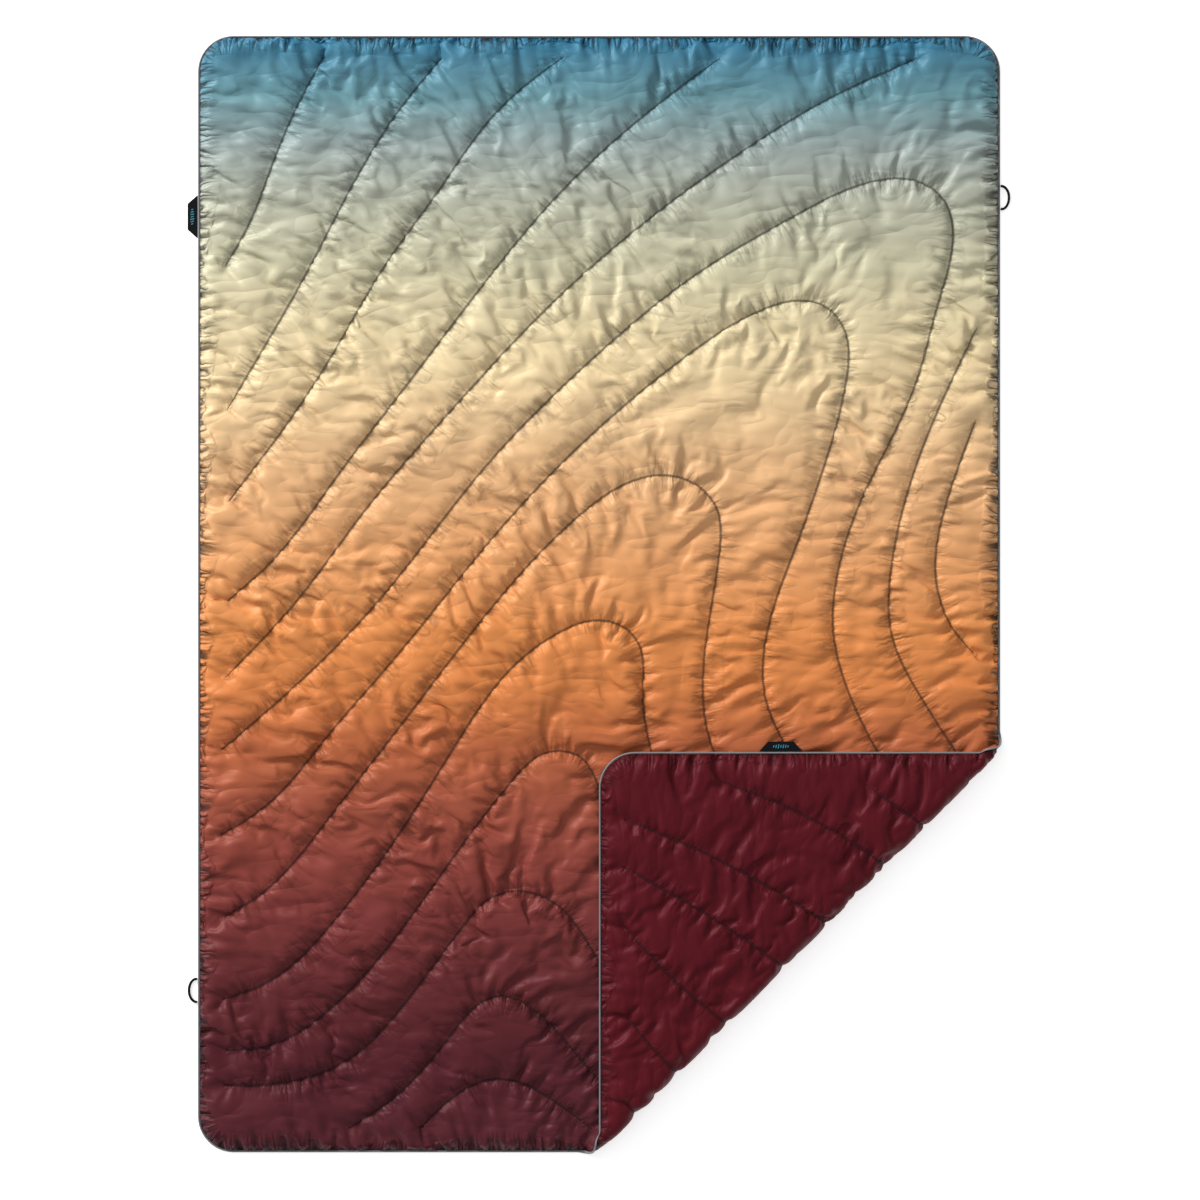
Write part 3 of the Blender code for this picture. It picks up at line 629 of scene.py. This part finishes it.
def eased(made, value, start, end, at_start, at_end):
    """Goes smoothly from at_start to at_end while value goes from start to end."""
    return node(made, "MapRange", links=[("Value", value)], interpolation_type="SMOOTHSTEP",
                From_Min=start, From_Max=end, To_Min=at_start, To_Max=at_end).outputs[0]


# Gathers: metres apart, how slowly they change away from the line, reach, depth in metres, and
# how much light the valleys lose.
GATHERS = ((0.010, 0.28, 0.030, 0.0010, 0.15),      # beside every line
           (0.024, 0.15, 0.052, 0.0024, 0.36),      # longer ones in places
           (0.017, 0.19, 0.044, 0.0048, 0.88))      # along the edge, where the cloth is eased in
GATHER_START, VALLEY = 0.002, 0.30
PRESSED_FROM, PRESSED_TO = 0.0005, 0.004      # the line in which the stitches lie, darkened as painted shade
CREASE_DEPTH = 0.0019
CREASE_TURNS, CREASE_STRETCH = (0.30, -0.35), (0.42, 1, 1)
LARGE_CREASE, SMALL_CREASE, PATCH_SIZE = 0.034, 0.020, 0.075
TONE_SIZE, TONE = 0.10, 0.04                  # the dye is this uneven
THREAD_SIZE, THREAD_DEPTH = 0.0006, 0.0002
SHEEN_TINT = 0.35                             # the sheen takes some of the dye's colour


def taffeta(made, bsdf, colour, pressed_shade, gathered):
    """Fine plain weave with small creases and, beside the stitches, gathers across them. Painted
    shade darkens its colour in the pressed lines, by pressed_shade, and in the gathers' valleys;
    gathered scales the gathers' depth."""
    stitch = node(made, "UVMap", uv_map="FromStitch").outputs[0]
    along = node(made, "SeparateXYZ", links=[("Vector", stitch)])
    along, away = along.outputs["X"], along.outputs["Y"]
    at_edge = math_node(made, "GREATER_THAN", along, LINE_SPACING * (len(stitched_lines) - 1) - 1)
    cut = node(made, "UVMap", uv_map="Cut").outputs[0]
    metres = node(made, "VectorMath", links=[(0, cut)], operation="MULTIPLY")
    metres.inputs[1].default_value = FLAT_SIZE + (0,)
    metres = metres.outputs[0]
    tone = node(made, "MapRange", links=[("Value", noise_of(made, metres, TONE_SIZE, 3.0))],
                From_Min=0.3, From_Max=0.7, To_Min=1 - TONE, To_Max=1 + TONE)
    patch = eased(made, noise_of(made, metres, PATCH_SIZE), 0.40, 0.60, 0.0, 1.0)

    # little light gets into the pressed lines and between tight gathers
    height, open_share = 0.0, 1.0
    for (pitch, taper, reach, depth, hidden), where in zip(GATHERS, (1.0, patch, at_edge)):
        stretched = node(made, "VectorMath", links=[(0, stitch)], operation="MULTIPLY")
        stretched.inputs[1].default_value = (1.0, taper, 0.0)
        pattern = creased(made, noise_of(made, stretched.outputs[0], pitch, 1.0, 0.3), 1.0)
        beside = eased(made, away, GATHER_START, reach, gathered, 0.0)
        beside = math_node(made, "MULTIPLY", beside, where)
        rise = math_node(made, "MULTIPLY", pattern, depth)
        height = math_node(made, "ADD", height, math_node(made, "MULTIPLY", rise, beside))
        valley = eased(made, pattern, 0.0, VALLEY, hidden, 0.0)
        kept = math_node(made, "SUBTRACT", 1.0, math_node(made, "MULTIPLY", valley, beside))
        open_share = math_node(made, "MULTIPLY", open_share, kept)
    # painted shade: the colour is darkened in the pressed lines and in the gathers' valleys
    lit = eased(made, away, PRESSED_FROM, PRESSED_TO, pressed_shade, 1.0)
    lit = math_node(made, "MULTIPLY", lit, open_share)
    mixed = node(made, "VectorMath", links=[(0, colour)], operation="SCALE")
    made.node_tree.links.new(math_node(made, "MULTIPLY", lit, tone.outputs[0]),
                             mixed.inputs["Scale"])
    made.node_tree.links.new(mixed.outputs[0], bsdf.inputs["Base Color"])

    across = [node(made, "Mapping", links=[("Vector", metres)], Rotation=(0, 0, turn),
                   Scale=CREASE_STRETCH).outputs[0] for turn in CREASE_TURNS]
    large = creased(made, noise_of(made, across[0], LARGE_CREASE, 0.5), CREASE_DEPTH)
    small = creased(made, noise_of(made, across[1], SMALL_CREASE, 0.5), CREASE_DEPTH / 2)
    small = math_node(made, "MULTIPLY", patch, small)
    height = math_node(made, "ADD", math_node(made, "ADD", height, large), small)
    crumple = node(made, "Bump", links=[("Height", height)], Strength=1.0, Distance=1.0)
    thread = node(made, "Bump", links=[("Height", noise_of(made, metres, THREAD_SIZE)),
                                       ("Normal", crumple.outputs[0])],
                  Strength=0.25, Distance=THREAD_DEPTH)
    made.node_tree.links.new(thread.outputs[0], bsdf.inputs["Normal"])
    tint = node(made, "Gamma", links=[("Color", colour)], Gamma=SHEEN_TINT)
    made.node_tree.links.new(tint.outputs[0], bsdf.inputs["Specular Tint"])


printed, bsdf = material("printed_nylon_taffeta", roughness=0.48)
taffeta(printed, bsdf, print_ramp(printed), pressed_shade=0.30, gathered=1.0)
face = shell_object("face_shell_fabric", lifts[0], face_height, 1, printed)
crosses_fold(face)
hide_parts("panel_face_shell", "corner_face_shell", "panel_insulation", "corner_insulation")

# --- Reverse shell -----------------------------------------------------------------------------
# The same taffeta, dyed plain wine red. It shows where the corner is turned over.

plain, bsdf = material("plain_nylon_taffeta", roughness=0.50)
wine = node(plain, "RGB")
wine.outputs[0].default_value = srgb("#4f1018")
taffeta(plain, bsdf, wine.outputs[0], pressed_shade=0.35, gathered=0.6)
reverse = shell_object("reverse_shell_fabric", lifts[1], reverse_height, -1, plain)
crosses_fold(reverse)
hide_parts("panel_back_shell", "corner_back_shell")

# --- Quilting stitches ---------------------------------------------------------------------------
# Lockstitch in spun polyester through all the layers: short stitches end to end, sunk into the
# valley on both sides.

STITCH_PITCH, STITCH_LENGTH = 0.0036, 0.0031
STITCH_WIDTH, STITCH_RISE = 0.0013, 0.0007
STITCH_SECTION = ((-0.5, 0.0), (0.5, 0.0), (0.28, 1.0), (-0.28, 1.0))      # of width and rise
STITCH_STOPS = ((-0.5, 0.35), (-0.25, 1.0), (0.25, 1.0), (0.5, 0.35))      # along it, and size
THREAD_SHADE = 0.30       # of the print beside it, as painted shade of the groove it lies in


def stitches(name, side, surface):
    """side is 1 on the face and -1 on the reverse."""
    verts, quads, cut, count = [], [], [], 0
    for line in seam_lines.values():
        whole = arc_length(line)[-1]
        centres = np.arange(STITCH_PITCH, whole - STITCH_PITCH, STITCH_PITCH)
        for share, size in STITCH_STOPS:
            at = centres + share * STITCH_LENGTH
            here = read_at(line, at)
            ahead = read_at(line, at + 0.0005) - read_at(line, at - 0.0005)
            ahead /= np.hypot(*ahead.T)[:, None]
            across = np.stack([-ahead[:, 1], ahead[:, 0]], axis=1)
            level = middle_height(here) + side * HALF_PRESSED
            for u, v in STITCH_SECTION:
                place = here + across * (u * STITCH_WIDTH * size)
                verts.append(np.column_stack([place, level + side * v * STITCH_RISE * size]))
                cut.append(here)
        n = len(centres)
        index = count + np.arange(16)[:, None] * n + np.arange(n)[None, :]
        rows = index.reshape(4, 4, n)
        for a, b in zip(rows, rows[1:]):
            for i in range(4):
                j = (i + 1) % 4
                quads.append(np.stack([a[i], b[i], b[j], a[j]], axis=1))
        quads.append(rows[0].T)
        quads.append(rows[-1][::-1].T)
        count += 16 * n
    verts = fold_over(np.vstack(verts))
    quads = np.vstack(quads)[:, ::side]
    mesh = bpy.data.meshes.new(name)
    mesh.from_pydata(verts.tolist(), [], quads.tolist())
    layer = mesh.uv_layers.new(name="Cut")
    place = (np.vstack(cut) / FLAT_SIZE + 0.5)[quads.ravel()]
    layer.data.foreach_set("uv", place.astype(np.float32).ravel())
    made = put_in_scene(name, mesh, surface)
    crosses_fold(made)
    return made


# the thread is real, but its colour is the print darkened: painted shade of the groove it lies in
groove_shaded_thread, bsdf = material("spun_polyester_thread", roughness=0.8)
darker = node(groove_shaded_thread, "VectorMath", links=[(0, print_ramp(groove_shaded_thread))], operation="SCALE",
              Scale=THREAD_SHADE)
groove_shaded_thread.node_tree.links.new(darker.outputs[0], bsdf.inputs["Base Color"])
face_stitches = stitches("face_stitches", 1, groove_shaded_thread)
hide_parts(*[name for name in nodes if "_quilt_seam_" in name])

wine_thread, _ = material("wine_polyester_thread", "#2c0b11", 0.8)
reverse_stitches = stitches("reverse_stitches", -1, wine_thread)

# --- Edge piping ---------------------------------------------------------------------------------
# A bias strip of grey polyester folded over a thin cord, sewn in between the shells all round.

PIPING_RADIUS, PIPING_SIDES, PIPING_STEP = 0.0017, 12, 0.004

edge = outline(PIPING_RADIUS)
whole = arc_length(edge)[-1]
edge = read_at(edge, np.linspace(0, whole, int(whole / PIPING_STEP))[:-1])
ahead = np.roll(edge, -1, axis=0) - np.roll(edge, 1, axis=0)
ahead /= np.hypot(*ahead.T)[:, None]
outward = np.stack([ahead[:, 1], -ahead[:, 0]], axis=1)
level = middle_height(edge)
turns = [2 * math.pi * k / PIPING_SIDES for k in range(PIPING_SIDES)]
rings = np.stack([np.column_stack([edge + outward * (PIPING_RADIUS * math.cos(a)),
                                   level + PIPING_RADIUS * math.sin(a)]) for a in turns], axis=1)
n = len(edge)
index = np.arange(n * PIPING_SIDES).reshape(n, PIPING_SIDES)
next_ring = np.roll(index, -1, axis=0)
quads = np.stack([index, next_ring, np.roll(next_ring, -1, axis=1), np.roll(index, -1, axis=1)],
                 axis=2).reshape(-1, 4)
mesh = bpy.data.meshes.new("edge_piping_strip")
mesh.from_pydata(fold_over(rings.reshape(-1, 3)).tolist(), [], quads.tolist())
mesh.polygons.foreach_set("use_smooth", np.ones(len(quads), bool))
grey, _ = material("grey_polyester_strip", "#747478", 0.6)
piping = put_in_scene("edge_piping_strip", mesh, grey)
crosses_fold(piping)
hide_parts("panel_edge_piping", "corner_edge_piping")

# --- Cord loops and labels -----------------------------------------------------------------------
# Loops of braided polypropylene cord sewn in under the edge, and folded tabs of black webbing
# with a mark of seven short slanting bars woven in.

BAR_SPACING, BAR_WIDTH, BAR_SLANT = 0.0040, 0.0018, 0.0012
BAR_SHARES = (0.70, 1.05, 1.35, 0.90, 1.20, 1.00, 0.65)       # of the mark's depth
BOX_SIDES = ((3, 2, 1, 0), (4, 5, 6, 7), (0, 1, 5, 4), (1, 2, 6, 5), (2, 3, 7, 6), (3, 0, 4, 7))


def ribbed(name, code, waves, strength, depth):
    """Black yarn with slanting ribs."""
    made, bsdf = material(name, code, 0.8, 0.15)
    place = node(made, "TexCoord")
    ribs = node(made, "TexWave", links=[("Vector", place.outputs["Object"])],
                bands_direction="DIAGONAL", Scale=waves)
    bump = node(made, "Bump", links=[("Height", ribs.outputs["Fac"])], Strength=strength,
                Distance=depth)
    made.node_tree.links.new(bump.outputs[0], bsdf.inputs["Normal"])
    return made


cord = ribbed("black_braided_cord", "#08080a", 320.0, 0.6, 0.0004)
webbing = ribbed("black_polyester_webbing", "#06080b", 260.0, 0.5, 0.0003)
woven, _ = material("woven_teal_yarn", "#2f7788", 0.7)

for side in ("left", "right"):
    for name, surface in (("_cord_loop", cord), ("_label", webbing)):
        nodes[side + name].data.materials.clear()
        nodes[side + name].data.materials.append(surface)

    low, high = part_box(side + "_label_mark")
    centre, size = [(a + b) / 2 for a, b in zip(low, high)], [b - a for a, b in zip(low, high)]
    long_way = 1 if size[1] > size[0] else 0
    verts, quads = [], []
    for k, share in enumerate(BAR_SHARES):
        along = centre[long_way] + (k - (len(BAR_SHARES) - 1) / 2) * BAR_SPACING
        tall = size[1 - long_way] * share / 2
        quads += [[len(verts) + i for i in quad] for quad in BOX_SIDES]
        for z in (-size[2] / 2, size[2] / 2):
            for u, v in ((-1, -1), (1, -1), (1, 1), (-1, 1)):
                place = [0, 0, centre[2] + z]
                place[long_way] = along + u * BAR_WIDTH / 2 + v * BAR_SLANT / 2
                place[1 - long_way] = centre[1 - long_way] + v * tall
                verts.append(place)
    mesh = bpy.data.meshes.new(side + "_label_bars")
    mesh.from_pydata(verts, [], quads)
    bars = put_in_scene(side + "_label_bars", mesh, woven)
    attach(bars, side + "_label")
    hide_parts(side + "_label_mark")

# --- Floor, light and camera -------------------------------------------------------------------
# White paper lit a little from under it, a large soft lamp low on the upper left, an even white
# surround, and a camera straight above.

bpy.ops.mesh.primitive_plane_add(size=24, location=(0, 0, -0.0002))
floor = bpy.context.object
floor.name = "floor"
white, bsdf = material("white_paper", "#fdfdfd", 0.9)
bsdf.inputs["Emission Color"].default_value = (1, 1, 1, 1)
bsdf.inputs["Emission Strength"].default_value = 0.46
floor.data.materials.append(white)

lamp = bpy.data.lights.new("key_light", "AREA")
lamp.size, lamp.energy = 2.9, 1150
key = bpy.data.objects.new("key_light", lamp)
key.location = (-6.5, 6.1, 4.1)
key.rotation_euler = (-key.location).to_track_quat("-Z", "Y").to_euler()
bpy.context.scene.collection.objects.link(key)

world = bpy.data.worlds.new("studio")
world.use_nodes = True
world.node_tree.nodes["Background"].inputs["Color"].default_value = (1, 1, 1, 1)
world.node_tree.nodes["Background"].inputs["Strength"].default_value = 0.60
bpy.context.scene.world = world

FIELD, LENS, SENSOR = 2.005, 100.0, 36.0       # metres seen across, and two in millimetres
view = bpy.data.cameras.new("camera")
view.lens, view.sensor_width, view.dof.use_dof = LENS, SENSOR, False
camera = bpy.data.objects.new("camera", view)
camera.location = (0.0017, -0.010, FIELD * LENS / SENSOR)
bpy.context.scene.collection.objects.link(camera)
bpy.context.scene.camera = camera
bpy.context.scene.view_settings.view_transform = "Standard"
